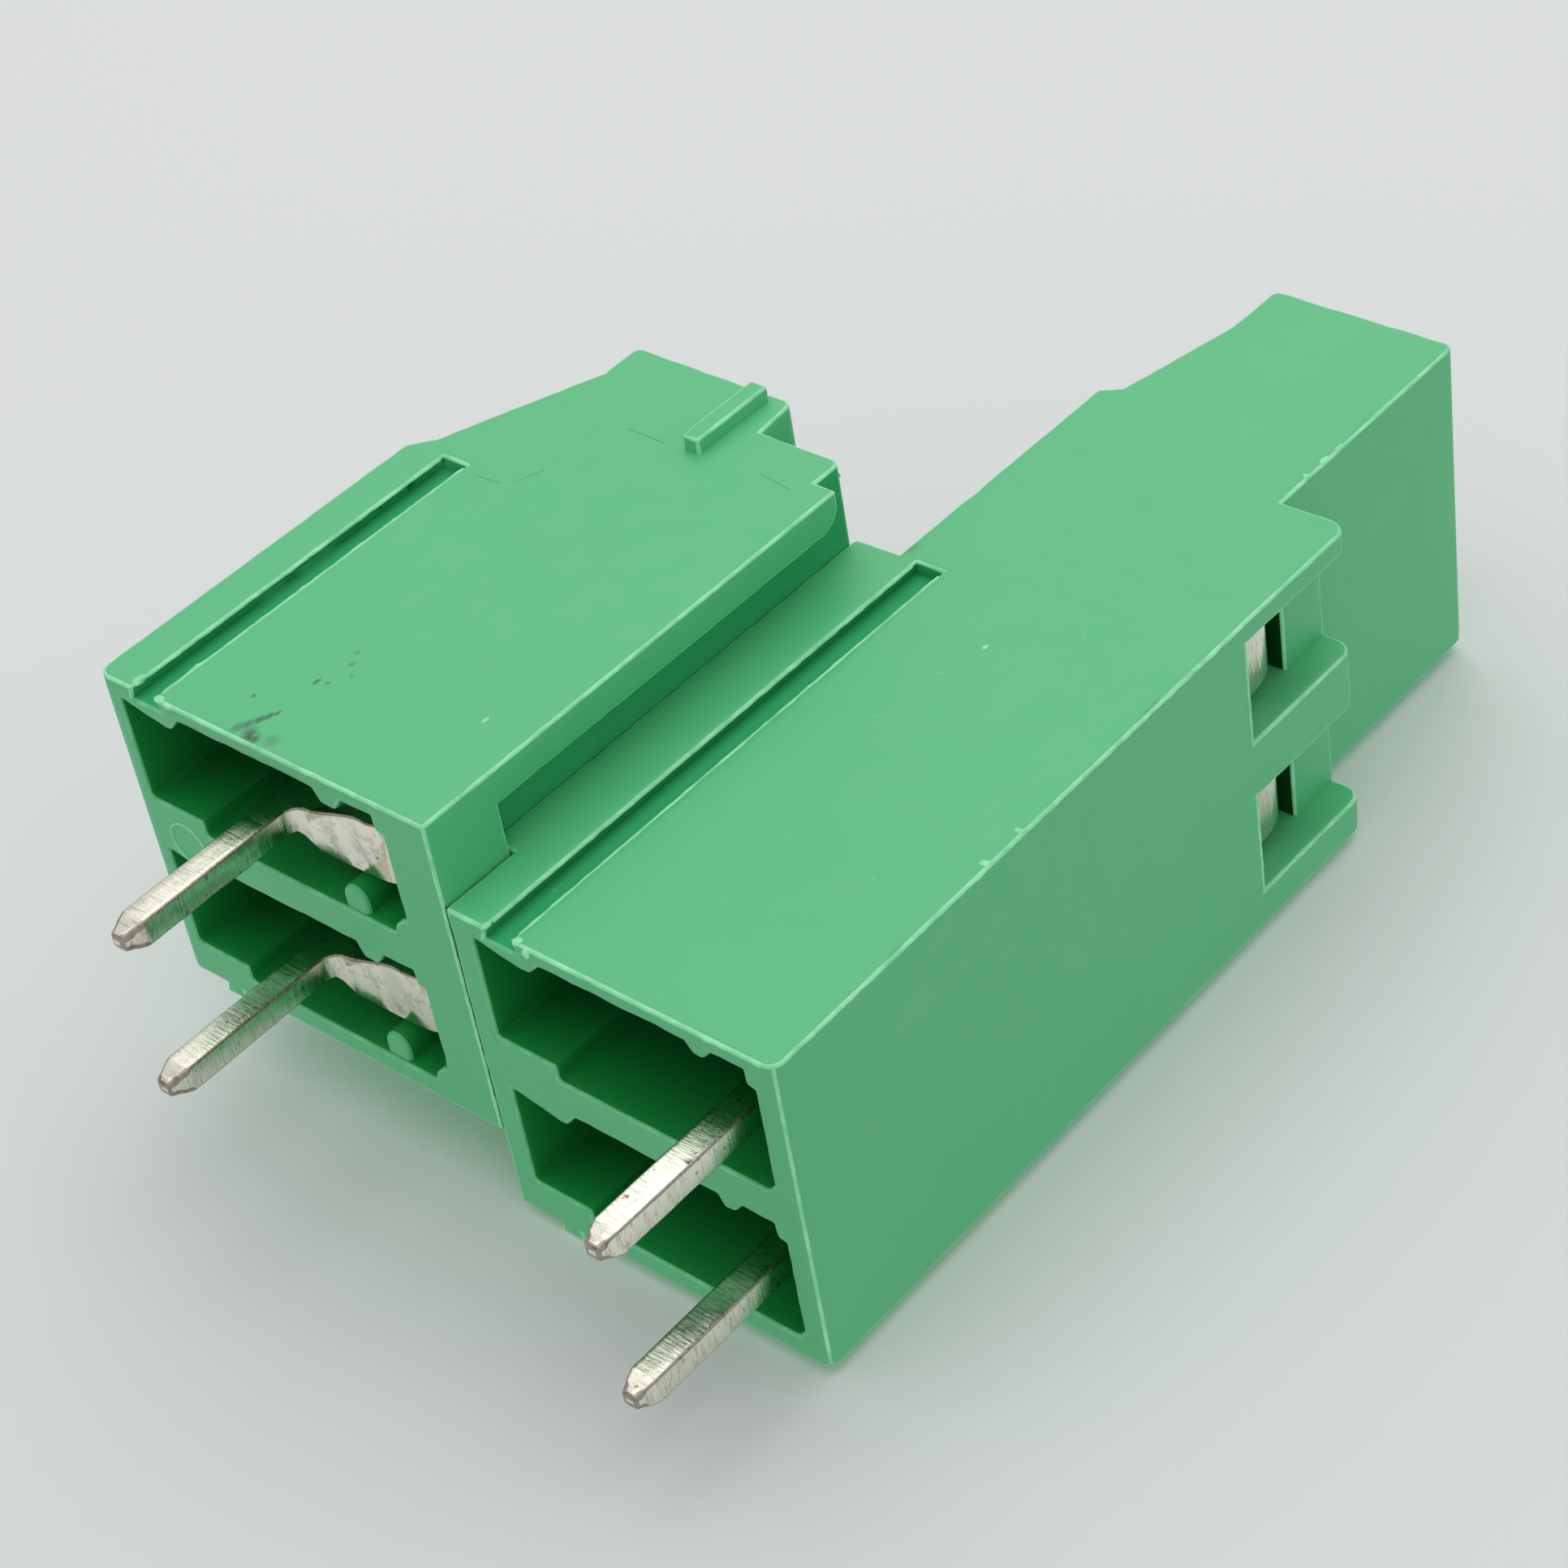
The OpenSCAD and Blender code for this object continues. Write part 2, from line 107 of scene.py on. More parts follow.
class Nodes:
    """Short ways to add and join the nodes of a material or of the world."""

    def __init__(self, owner, output):
        owner.use_nodes = True
        self.owner = owner
        self.tree = owner.node_tree
        self.tree.nodes.clear()
        self.out = self.add(output).inputs["Surface"]

    def add(self, kind, **values):
        """Adds a node; values are for its inputs, or else for its own settings."""
        node = self.tree.nodes.new(kind)
        for key, value in values.items():
            if key in node.inputs:
                node.inputs[key].default_value = value
            else:
                setattr(node, key, value)
        return node

    def feed(self, value, socket):
        """Joins another node's output to a socket, or sets the socket's own number or colour."""
        if hasattr(value, "links"):
            self.tree.links.new(value, socket)
        else:
            socket.default_value = value if isinstance(value, (int, float)) else (*value, 1)

    @cached_property
    def place(self):
        """Where a point lies in its object, in metres."""
        return self.add("ShaderNodeTexCoord").outputs["Object"]

    def noise(self, scale, detail, rough, stretch=None):
        """A noise between 0 and 1 over the object; stretch squeezes it along each axis."""
        source = self.place
        if stretch:
            mapping = self.add("ShaderNodeMapping", Scale=stretch)
            self.feed(source, mapping.inputs["Vector"])
            source = mapping.outputs["Vector"]
        node = self.add("ShaderNodeTexNoise", Scale=scale, Detail=detail, Roughness=rough)
        self.feed(source, node.inputs["Vector"])
        return node.outputs["Fac"]

    def ramp(self, source, first, last):
        """A grey that runs between two (place, grey) stops."""
        node = self.add("ShaderNodeValToRGB")
        for element, (place, grey) in zip(node.color_ramp.elements, (first, last)):
            element.position = place
            element.color = (grey, grey, grey, 1)
        self.feed(source, node.inputs["Fac"])
        return node.outputs["Color"]

    def mix(self, factor, a, b, mode="MIX"):
        """A blend of two colours."""
        node = self.add("ShaderNodeMix", data_type="RGBA", blend_type=mode)
        for value, socket in ((factor, node.inputs[0]), (a, node.inputs[6]), (b, node.inputs[7])):
            self.feed(value, socket)
        return node.outputs[2]

    def math(self, kind, a, b, clamp=False):
        node = self.add("ShaderNodeMath", operation=kind, use_clamp=clamp)
        self.feed(a, node.inputs[0])
        self.feed(b, node.inputs[1])
        return node.outputs[0]

    def spot(self, centre, size, edge):
        """1 inside an ellipsoid about a point, falling to 0 over the outer share of its radius."""
        shift = self.add("ShaderNodeVectorMath", operation="SUBTRACT")
        self.feed(self.place, shift.inputs[0])
        shift.inputs[1].default_value = centre
        scale = self.add("ShaderNodeVectorMath", operation="DIVIDE")
        self.feed(shift.outputs[0], scale.inputs[0])
        scale.inputs[1].default_value = [v * MM for v in size]
        length = self.add("ShaderNodeVectorMath", operation="LENGTH")
        self.feed(scale.outputs[0], length.inputs[0])
        node = self.add("ShaderNodeMapRange", interpolation_type="SMOOTHSTEP")
        self.feed(length.outputs["Value"], node.inputs["Value"])
        node.inputs["From Min"].default_value = 1.0
        node.inputs["From Max"].default_value = 1.0 - edge
        return node.outputs["Result"]

    def bump(self, height, tall, strength, normal=None):
        """A bent normal; tall is the height of the bumps in mm."""
        node = self.add("ShaderNodeBump", Strength=strength, Distance=tall * MM)
        self.feed(height, node.inputs["Height"])
        if normal:
            self.feed(normal, node.inputs["Normal"])
        return node.outputs["Normal"]

    def surface(self, colour, rough, normal, **values):
        """Gives the material its surface and returns the material."""
        node = self.add("ShaderNodeBsdfPrincipled", **values)
        for value, key in ((colour, "Base Color"), (rough, "Roughness"), (normal, "Normal")):
            self.feed(value, node.inputs[key])
        self.feed(node.outputs["BSDF"], self.out)
        return self.owner

    def seen(self):
        """1 for rays from the camera or from a shiny face, and 0 for the rays that carry light."""
        rays = self.add("ShaderNodeLightPath").outputs
        return self.math("ADD", rays["Is Camera Ray"], rays["Is Glossy Ray"], clamp=True)

    def choose(self, factor, a, b):
        """Shows the first shader where the factor is 0 and the second where it is 1."""
        node = self.add("ShaderNodeMixShader")
        for value, socket in zip((factor, a.outputs[0], b.outputs[0]), node.inputs):
            self.feed(value, socket)
        self.feed(node.outputs[0], self.out)


def material_nodes(name):
    return Nodes(bpy.data.materials.new(name), "ShaderNodeOutputMaterial")


def dimmed(colour, share):
    return [c * share for c in colour]


# Colours of the plastic
GREEN_DARK = (0.088, 0.500, 0.208)
GREEN_LIGHT = (0.096, 0.525, 0.224)
# A pale green: painted highlight on the rims and the cells' mouths, and random pale flecks on the outer
# faces
GREEN_HIGHLIGHT_AND_FLECKS = (0.36, 0.88, 0.50)
# Painted shade: the cells' darker green, and the near black deep in them and in the gap between the
# housings
GREEN_CELL_SHADE = (0.010, 0.31, 0.055)
GREEN_BLACK_SHADE = (0.002, 0.06, 0.010)
# Painted shade: the darker green of the mould lines
GREEN_SEAM_SHADE = (0.045, 0.33, 0.12)
GREEN_SHADE = (0.038, 0.40, 0.150)
SMUDGE = (0.03, 0.075, 0.05)
SPECK = (0.62, 0.86, 0.72)

# Noise patterns: how fine, how many layers and how rough
CLOUD = (260, 4, 0.6)
PATCHES = (900, 4, 0.6)
# The next pattern gives the patches of the rims' painted highlight
HIGHLIGHT_PATCHES = (1500, 3, 0.55)
FLECKS = (5200, 2, 0.4)
STREAKS = (2300, 5, 0.75)
SATIN = (9000, 3, 0.6)
CELL_SATIN = (7000, 3, 0.6)
WAVES = (420, 2, 0.5)

DARK_AT = 5.0  # how far from an opening the cells' green has turned dark, in mm
MARK_REACH = 0.5  # how far into the wall a mark on a face reaches, in mm
SATIN_TALL, WAVE_TALL = 0.012, 0.08
SATIN_BUMP, CELL_BUMP, WAVE_BUMP = 0.35, 0.4, 0.12  # how strongly they bend the light
SMUDGE_EDGE, SPECK_EDGE = 0.9, 0.6  # the share of a mark's radius over which it fades
SMUDGE_STRETCH = (1, 1.2, 0.8)
PLASTIC_IOR = 1.5
# The two greens that a cloud mixes, where they aren't the outer ones: darker greens of painted shade on the
# mould lines, in the gap between the housings and in the recesses
CLOUDED = {
    "seam": (GREEN_SEAM_SHADE, GREEN_DARK),
    "gap": (GREEN_BLACK_SHADE, GREEN_CELL_SHADE),
    "recess": (dimmed(GREEN_SHADE, 0.94), GREEN_SHADE),
}
# Where an effect starts and ends in its noise, and how strong it is there
# Painted highlight: how strongly the pale green shows on the rims and, fainter, on the cells' mouths
PAINTED_HIGHLIGHTS = {"rim": ((0.28, 0.4), (0.66, 1.0)), "mouth": ((0.35, 0.0), (0.7, 0.42))}
FLECKED = ((0.75, 0.0), (0.82, 0.25))
STREAKED = ((0.32, 0.0), (0.47, 1.0))
OUTER_ROUGH = ((0.25, 0.38), (0.75, 0.50))
CELL_ROUGH = ((0.25, 0.42), (0.75, 0.55))
OUTER_GLARE, CELL_GLARE, SHELTERED_GLARE = 0.5, 0.2, 0.1
SHELTERED = ("recess", "gap")  # kinds that catch hardly any glare


def cell_green(name, top):
    """The green inside the cells and shafts, with painted shade: a darker green that turns black far from
    the openings at the board and the top.
    """
    n = material_nodes(name)
    parts = n.add("ShaderNodeSeparateXYZ")
    n.feed(n.place, parts.inputs[0])
    height = parts.outputs["Z"]
    nearest = n.math("MINIMUM", height, n.math("SUBTRACT", top * MM, height))
    # Painted shade: the share of black grows with the distance from the nearest opening
    shade_share = n.math("DIVIDE", nearest, DARK_AT * MM, clamp=True)
    base = n.mix(n.noise(*CLOUD), dimmed(GREEN_CELL_SHADE, 0.9), GREEN_CELL_SHADE)
    base = n.mix(shade_share, base, GREEN_BLACK_SHADE)
    rough = n.ramp(n.noise(*PATCHES), *CELL_ROUGH)
    satin = n.bump(n.noise(*CELL_SATIN), SATIN_TALL, CELL_BUMP)
    return n.surface(base, rough, satin, **{"Specular IOR Level": CELL_GLARE})


def green(name, kind="outer", side=0.0, smudges=(), specks=()):
    """The plastic's green, outer by default, with marks on the +X face at x = side; the rim and mouth kinds
    carry a painted highlight, and the seam, gap and recess kinds painted shade.

    Smudges are (y, z, half width, half height, strength), and specks ((y, z), half width, half height).
    """
    n = material_nodes(name)
    base = n.mix(n.noise(*CLOUD), *CLOUDED.get(kind, (GREEN_DARK, GREEN_LIGHT)))
    # painted highlight on the rims and the cells' mouths
    if kind in PAINTED_HIGHLIGHTS:
        base = n.mix(n.ramp(n.noise(*HIGHLIGHT_PATCHES), *PAINTED_HIGHLIGHTS[kind]), base, GREEN_HIGHLIGHT_AND_FLECKS)
    base = n.mix(n.ramp(n.noise(*FLECKS), *FLECKED), base, GREEN_HIGHLIGHT_AND_FLECKS)
    if smudges:
        streaks = n.ramp(n.noise(*STREAKS, stretch=SMUDGE_STRETCH), *STREAKED)
    for y, z, wide, tall, strength in smudges:
        smudge = n.spot(at(side, y, z), (MARK_REACH, wide, tall), SMUDGE_EDGE)
        mask = n.math("MULTIPLY", smudge, streaks)
        base = n.mix(n.math("MULTIPLY", mask, strength), base, SMUDGE)
    for (y, z), wide, tall in specks:
        speck = n.spot(at(side, y, z), (MARK_REACH, wide, tall), SPECK_EDGE)
        base = n.mix(speck, base, SPECK)
    rough = n.ramp(n.noise(*PATCHES), *OUTER_ROUGH)
    satin = n.bump(n.noise(*SATIN), SATIN_TALL, SATIN_BUMP)
    waves = n.bump(n.noise(*WAVES), WAVE_TALL, WAVE_BUMP, satin)
    glare = SHELTERED_GLARE if kind in SHELTERED else OUTER_GLARE
    return n.surface(base, rough, waves, **{"IOR": PLASTIC_IOR, "Specular IOR Level": glare})


# Noise patterns of the metals; the drawn lines and marks are stretched along the metal
LINES = (1100, 5, 0.7)
MARKS = (1700, 4, 0.7)
BLOTS = (1500, 3, 0.5)
STAINS = (4300, 3, 0.65)
STAIN = (0.15, 0.11, 0.085)
BLOTTED = 0.9  # the blots' share of the tint
MARKED, LINED = (0.36, 0.5), (0.35, 0.68)  # where the marks and the lines start and end in their noise
STAIN_EDGE = 0.05
BLOT_TALL = 0.02
LINE_BUMP, BLOT_BUMP = 0.7, 0.5


def metal(name, tint, stretch, rough, line_tall, stain_from, stain_share, mark=0.8):
    """Drawn metal; rough is the roughness on and between its lines, and mark the darkest line's grey."""
    n = material_nodes(name)
    lines = n.noise(*LINES, stretch=stretch)
    blots = n.noise(*BLOTS)
    marks = n.ramp(n.noise(*MARKS, stretch=stretch), *zip(MARKED, (mark, 1.0)))
    stains = n.ramp(n.noise(*STAINS), (stain_from, 0.0), (stain_from + STAIN_EDGE, 1.0))
    base = n.mix(blots, dimmed(tint, BLOTTED), tint)
    base = n.mix(1.0, base, marks, "MULTIPLY")
    base = n.mix(n.math("MULTIPLY", stains, stain_share), base, STAIN)
    roughness = n.ramp(lines, *zip(LINED, rough))
    normal = n.bump(lines, line_tall, LINE_BUMP, n.bump(blots, BLOT_TALL, BLOT_BUMP))
    return n.surface(base, roughness, normal, Metallic=1.0)


# Smudges on the lower housing's +X face, as green() takes them: a streak near the mouth and dots
LOWER_SMUDGES = (
    (5.00, 0.33, 0.22, 0.34, 0.6),
    (5.13, 0.58, 0.17, 0.30, 0.7),
    (5.27, 0.84, 0.16, 0.30, 0.85),
    (5.38, 1.06, 0.12, 0.26, 0.9),
    (5.48, 1.26, 0.09, 0.20, 0.9),
    (5.38, 0.42, 0.30, 0.30, 0.45),
    (5.56, 0.26, 0.40, 0.32, 0.95),
    (5.70, 0.18, 0.22, 0.20, 0.9),
    (6.15, 0.40, 0.35, 0.34, 0.35),
    (5.44, 2.66, 0.10, 0.22, 0.85),
    (5.74, 2.76, 0.12, 0.10, 0.55),
    (5.50, 4.05, 0.12, 0.16, 0.4),
    (5.73, 3.64, 0.12, 0.16, 0.45),
    (6.06, 3.28, 0.10, 0.12, 0.4),
    (4.43, 1.43, 0.10, 0.12, 0.9),
)
LOWER_SPECK, UPPER_SPECK = (10.29, 3.77), (16.98, 14.64)

GREEN_UPPER = green("green_upper", side=UPPER_SIDE, specks=((UPPER_SPECK, 0.07, 0.11),))
GREEN_LOWER = green(
    "green_lower", side=LOWER_SIDE, smudges=LOWER_SMUDGES, specks=((LOWER_SPECK, 0.07, 0.15),)
)
# Painted highlight on the rims and, fainter, on the cells' mouths
GREEN_RIM_HIGHLIGHT = green("green_rim_highlight", "rim")
GREEN_MOUTH_HIGHLIGHT = green("green_mouth_highlight", "mouth")
# Painted shade: darker greens for the mould lines, the gap between the housings and the recesses
GREEN_MOULD_LINE_SHADE = green("green_mould_line_shade", "seam")
GREEN_RECESS_SHADE = green("green_recess_shade", "recess")
GREEN_GAP_SHADOW = green("green_gap_shadow", "gap")
# Painted shade inside the cells and shafts, dark towards their depths
INSIDE_LOWER = cell_green("green_inside_lower", LOWER_TOP)
INSIDE_UPPER = cell_green("green_inside_upper", UPPER_TOP)
TIN = metal("tin", (0.89, 0.87, 0.745), (1, 1, 10), (0.08, 0.27), 0.014, 0.65, 0.8, mark=0.64)
TIN_RIM = metal("tin_rim", (0.40, 0.35, 0.30), (1, 1, 6), (0.2, 0.4), 0.02, 0.56, 0.6)
CAGE_STEEL = metal("cage_nickel", (0.66, 0.65, 0.62), (9, 1, 1), (0.2, 0.36), 0.02, 0.7, 0.4)
SCREW_STEEL = metal("screw_zinc", (0.70, 0.72, 0.75), (1, 1, 3), (0.16, 0.34), 0.02, 0.7, 0.4)


# Both rows of clamps: a housing's middle, front and outline as (y, z), and its screws' axis and bars' level
LOWER_OUTLINE = (
    (0, 0), (0, 11.35), (0.58, 11.96), (2.55, 16.58), (2.55, 17.7), (2.85, LOWER_TOP), (7.9, LOWER_TOP),
    (8.2, 17.7), (8.3, 16.52), (10.8, 16.52), (LOWER_BACK, 16.22), (LOWER_BACK, 2.4), (FOOT_BACK, 2.4),
    (FOOT_BACK, 0),
)
UPPER_OUTLINE = (
    (11.85, 0), (11.85, 2.45), (LOWER_BACK, 2.45), (LOWER_BACK, 16.45), (11.25, 16.6), (UPPER_FRONT, 16.65),
    (12.62, 25.3), (13.2, 25.7), (14.1, 29.65), (14.1, 31.4), (14.4, UPPER_TOP), (19.7, UPPER_TOP),
    (HEAD_BACK, 31.4), (HEAD_BACK, 23.43), (21.55, 23.43), (PAD_BACK, 22.88), (PAD_BACK, PAD_FOOT),
    (BLOCK_DEPTH, 0),
)
Row = namedtuple("Row", "name middle front outline axis level")
LOWER = Row("lower", LOWER_X, 0.0, LOWER_OUTLINE, 5.4, 6.5)
UPPER = Row("upper", UPPER_X, UPPER_FRONT, UPPER_OUTLINE, 17.0, 20.2)
WINDOWS_FROM = (20.85, 18.5)  # behind and above these y and z the window recess counts as outside
CHEEKS_FROM = (20.1, 18.5)  # behind and above these the windows' own sides begin


def depth(point, row):
    """How far a point lies inside a housing's outer form, in mm."""
    y, z = y_of(point), z_of(point)
    inside, near = False, PITCH - abs(point.x / MM - row.middle)
    for (y0, z0), (y1, z1) in zip(row.outline, row.outline[1:] + row.outline[:1]):
        if (z0 > z) != (z1 > z) and y < y0 + (z - z0) * (y1 - y0) / (z1 - z0):
            inside = not inside
        along = Vector((y1 - y0, z1 - z0))
        t = max(0.0, min(1.0, Vector((y - y0, z - z0)).dot(along) / along.length_squared))
        near = min(near, (Vector((y - y0, z - z0)) - along * t).length)
    if row is UPPER and y > WINDOWS_FROM[0] and z > WINDOWS_FROM[1]:
        return 0.0
    return near if inside and near > 0 else 0.0


# The material slots of a piece: a housing has all five, and a metal piece the first two
# In the housings, RIM carries a painted highlight and MOUTH a fainter one, while CELL and RECESS carry
# painted shade
OUTER, RIM, CELL, RECESS, MOUTH = range(5)

# Making and shaping meshes
WELD = 0.0001  # how near two points are joined, in mm
FLAT = 0.6  # faces that meet at less than this many degrees are joined
SHARP = 28  # edges over this many degrees are rounded
CREASE, FLASH_CREASE = 33, 70  # edges over this many degrees shade as sharp
CUT_SLACK = 1e-7


def merged_copy(node, weld=WELD):
    """The node's mesh as a bmesh with its flat faces joined again."""
    bm = bmesh.new()
    bm.from_mesh(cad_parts[node].data)
    bmesh.ops.remove_doubles(bm, verts=bm.verts, dist=weld * MM)
    bmesh.ops.dissolve_limit(
        bm, angle_limit=math.radians(FLAT), verts=bm.verts, edges=bm.edges, use_dissolve_boundaries=False
    )
    return bm


def piece(name, bm, materials, body, replaced=None, crease=CREASE):
    """Turns a bmesh into an object of the visual model."""
    mesh = bpy.data.meshes.new(name)
    bm.normal_update()
    bm.to_mesh(mesh)
    bm.free()
    for material in materials:
        mesh.materials.append(material)
    obj = bpy.data.objects.new(name, mesh)
    bpy.context.scene.collection.objects.link(obj)
    mesh.set_sharp_from_angle(angle=math.radians(crease))
    for face in mesh.polygons:
        face.use_smooth = True
    even = obj.modifiers.new("even_shading", "WEIGHTED_NORMAL")
    even.keep_sharp = True
    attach(obj, body)
    if replaced:
        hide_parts(replaced)


def round_edges(bm, width, wanted=lambda edge: True, segments=3, material=RIM, inward=False):
    """Rounds the sharp outward edges, and the inward ones too if asked to."""
    limit = math.radians(SHARP)
    sharp = []
    for edge in bm.edges:
        if len(edge.link_faces) == 2 and wanted(edge):
            angle = edge.calc_face_angle_signed()
            if angle > limit or (inward and angle < -limit):
                sharp.append(edge)
    bmesh.ops.bevel(
        bm, geom=sharp, offset=width * MM, offset_type="OFFSET", segments=segments,
        profile=0.5, affect="EDGES", clamp_overlap=False, material=material,
    )


def keep_inside(bm):
    """Holds every point within the box of the CAD model."""
    low, high = cad_box
    for v in bm.verts:
        v.co = Vector([min(max(c, a + HAIR), b - HAIR) for c, a, b in zip(v.co, low, high)])


def cut(bm, spot, normal):
    """Cuts the whole mesh along a plane and keeps both sides."""
    geom = bm.verts[:] + bm.edges[:] + bm.faces[:]
    bmesh.ops.bisect_plane(bm, geom=geom, dist=CUT_SLACK, plane_co=spot, plane_no=normal)


def slice_up(bm, axis, start, stop, step):
    """Cuts the mesh by planes across one axis, in mm of the block."""
    normal = [float(i == axis) for i in range(3)]
    place = start
    while place < stop:
        cut(bm, at(*[place * share for share in normal]), normal)
        place += step


def dent(bm, amount, scale, seed):
    """Moves every point a little along its normal, by smooth noise."""
    bm.normal_update()
    moves = []
    for v in bm.verts:
        p = v.co / MM / scale + Vector((seed, 0, 0))
        moves.append(v.normal * noise.noise(p) * amount * MM)
    for v, move in zip(bm.verts, moves):
        v.co += move


def join_rows(bm, rows, closed=False, turned=False):
    """Joins rows of four points to a ribbon and caps its ends, unless it closes on itself."""
    for a, b in zip(rows, rows[1:] + rows[:1] if closed else rows[1:]):
        for k in range(4):
            j = (k + 1) % 4
            bm.faces.new((a[k], b[k], b[j], a[j]) if turned else (a[k], a[j], b[j], b[k]))
    if not closed:
        bm.faces.new(rows[0] if turned else rows[0][::-1])
        bm.faces.new(rows[-1][::-1] if turned else rows[-1])


# Housings: rounded outer edges with a painted highlight, and painted shade: a darker green wherever a face
# looks into the block
SKIN = 0.12  # points less deep than this lie on the outer form
LOOK = 0.3  # how far in front of a face its surroundings are tested
SHALLOW, INSIDE = 0.04, 0.45  # a face that looks into such depths lies in a recess or in a cell
MOUTH_Z, MOUTH_DEPTH = 0.15, 0.3  # rims so low and so far from the outer form belong to the cells' mouths
RIM_ROUND, RIB_ROUND, FOOT_ROUND = 0.085, 0.14, 0.4
FOOT_CUTS = (0.15, 0.35, 0.62, 1.0)  # where the foot is cut, as shares of its radius
RIB_END = 0.1
CORNER_LENGTH, CORNER_WIDTH = 1.0, 0.22  # the smallest upright corner of a cell that is rounded
CORNER_FOOT = 1  # such a corner starts below this height
WIRE_DROP = 1.15  # how far below its bar's level a wire enters
FUNNEL_R, FUNNEL_DEPTH = 1.65, 0.9
CAGE_HALF = 2.05  # half a cage's pocket, along y
NEAR = 0.05  # how near a face counts as in its place, in mm
SQUARE_ON = 0.9  # the least share of a normal along an axis that its face looks along
ROUGH_STEP, ROUGH_TALL, ROUGH_BASE, ROUGH_SEED = 0.33, 0.022, 0.35, 13
ROUGH_COARSE, ROUGH_FINE, ROUGH_FINE_SHARE = 1.7, 4.3, 0.6
ROUGH_CUTS = ((0, -6.6, 6.6), (1, 0.1, BLOCK_DEPTH), (2, 0.5, 31.5))  # axis, start and stop


def round_foot(bm, place, inward):
    """Rounds the long corner between the board's plane and an upright face at some y."""
    for share in FOOT_CUTS:
        step = share * FOOT_ROUND
        cut(bm, at(0, 0, step), (0, 0, 1))
        cut(bm, at(0, place + inward * step, 0), (0, 1, 0))
    for v in bm.verts:
        across = FOOT_ROUND - (y_of(v.co) - place) * inward
        down = FOOT_ROUND - z_of(v.co)
        if min(across, down) > SLACK / 10 and max(across, down) < FOOT_ROUND + SLACK:
            shrink = max(across, down) / math.hypot(across, down)
            y = place + inward * (FOOT_ROUND - across * shrink)
            v.co = at(v.co.x / MM, y, FOOT_ROUND - down * shrink)


def roughen(bm, seed):
    """Cuts the mesh into short lengths and makes its rims a little uneven."""
    for cuts in ROUGH_CUTS:
        slice_up(bm, *cuts, ROUGH_STEP)
    bm.normal_update()
    rims = {v for face in bm.faces if face.material_index in (RIM, MOUTH) for v in face.verts}
    for v in rims:
        p = v.co / MM
        rough = noise.noise(p * ROUGH_COARSE + Vector((seed, 0, 0)))
        rough += ROUGH_FINE_SHARE * noise.noise(p * ROUGH_FINE + Vector((0, seed, 0)))
        v.co -= v.normal * ROUGH_TALL * MM * max(0.0, ROUGH_BASE + rough)


def rib_end(edge):
    """Whether an edge bounds the end of a guide rib in a lower cell."""
    return all(abs(z_of(v.co) - RIB_END) < SLACK for v in edge.verts)


def cell_corner(edge, row):
    """Whether an edge stands upright in a cell between two faces that are wide enough to round."""
    a, b = edge.verts
    length = edge.calc_length()
    if abs(abs(a.co.z - b.co.z) - length) > HAIR or length < CORNER_LENGTH * MM:
        return False
    if min(z_of(a.co), z_of(b.co)) > CORNER_FOOT or depth((a.co + b.co) / 2, row) < INSIDE:
        return False
    return all(face.calc_area() / length > CORNER_WIDTH * MM for face in edge.link_faces)


def wire_way(centre, row):
    """How far in mm a point lies along a wire passage from its mouth, or None outside one."""
    y = y_of(centre)
    for pole in POLES:
        off = math.hypot(centre.x / MM - row.middle - pole, z_of(centre) - row.level + WIRE_DROP)
        if off < FUNNEL_R + NEAR and row.front + SLACK < y < row.axis - CAGE_HALF:
            return y - row.front
    return None


def shade(face, row):
    """The material slot of a face, by what it looks at: painted shade where it looks into a recess, a
    wire's bore or a cell, and the outer green elsewhere.
    """
    centre = face.calc_center_bounds()
    way = wire_way(centre, row)
    if way is not None:
        return OUTER if way < FUNNEL_DEPTH and face.normal.y < -0.1 else RECESS
    look = depth(centre + face.normal * LOOK * MM, row)
    if look > INSIDE:
        return CELL
    # The lower housing's back face behind the upper housing takes the recess's painted shade as well
    behind = row is LOWER and face.normal.y > SQUARE_ON and abs(y_of(centre) - LOWER_BACK) < NEAR
    return RECESS if look > SHALLOW or behind else OUTER


def window_cheek(face, row):
    """Whether a face is part of a back window's side, where daylight reaches it."""
    centre = face.calc_center_median()
    placed = y_of(centre) > CHEEKS_FROM[0] and z_of(centre) > CHEEKS_FROM[1]
    return row is UPPER and abs(face.normal.x) > SQUARE_ON and placed


def dress_housing(row, outer, inside, foot, inward):
    """Rounds and roughens one housing and gives it painted shade and painted highlights; foot is the y of
    its rounded corner by the board.
    """
    bm = merged_copy(f"{row.name}_housing")
    bm.normal_update()
    for face in bm.faces:
        face.material_index = shade(face, row)
    round_edges(bm, RIB_ROUND, rib_end, segments=4, material=OUTER)
    corners = {e for e in bm.edges if cell_corner(e, row)}
    skin = {e for e in bm.edges if all(depth(v.co, row) < SKIN for v in e.verts)}
    round_edges(
        bm, RIM_ROUND, lambda e: e in corners or (e in skin and e.calc_face_angle_signed() > 0), inward=True
    )
    bm.normal_update()
    # Rims deep in a cell take the cell's painted shade, and low rims at the cells' mouths a fainter painted
    # highlight
    for face in bm.faces:
        if face.material_index != RIM:
            continue
        centre = face.calc_center_median()
        if depth(centre, row) > SKIN + RIM_ROUND:
            face.material_index = CELL
        elif z_of(centre) < MOUTH_Z and depth(centre + Vector((0, 0, 1)) * MM, row) > MOUTH_DEPTH:
            face.material_index = MOUTH
    round_foot(bm, foot, inward)
    roughen(bm, ROUGH_SEED + row.middle)
    for face in bm.faces:
        if face.material_index == CELL and window_cheek(face, row):
            face.material_index = OUTER
    materials = (outer, GREEN_RIM_HIGHLIGHT, inside, GREEN_RECESS_SHADE, GREEN_MOUTH_HIGHLIGHT)
    piece(f"{row.name}_moulding", bm, materials, "block", f"{row.name}_housing")


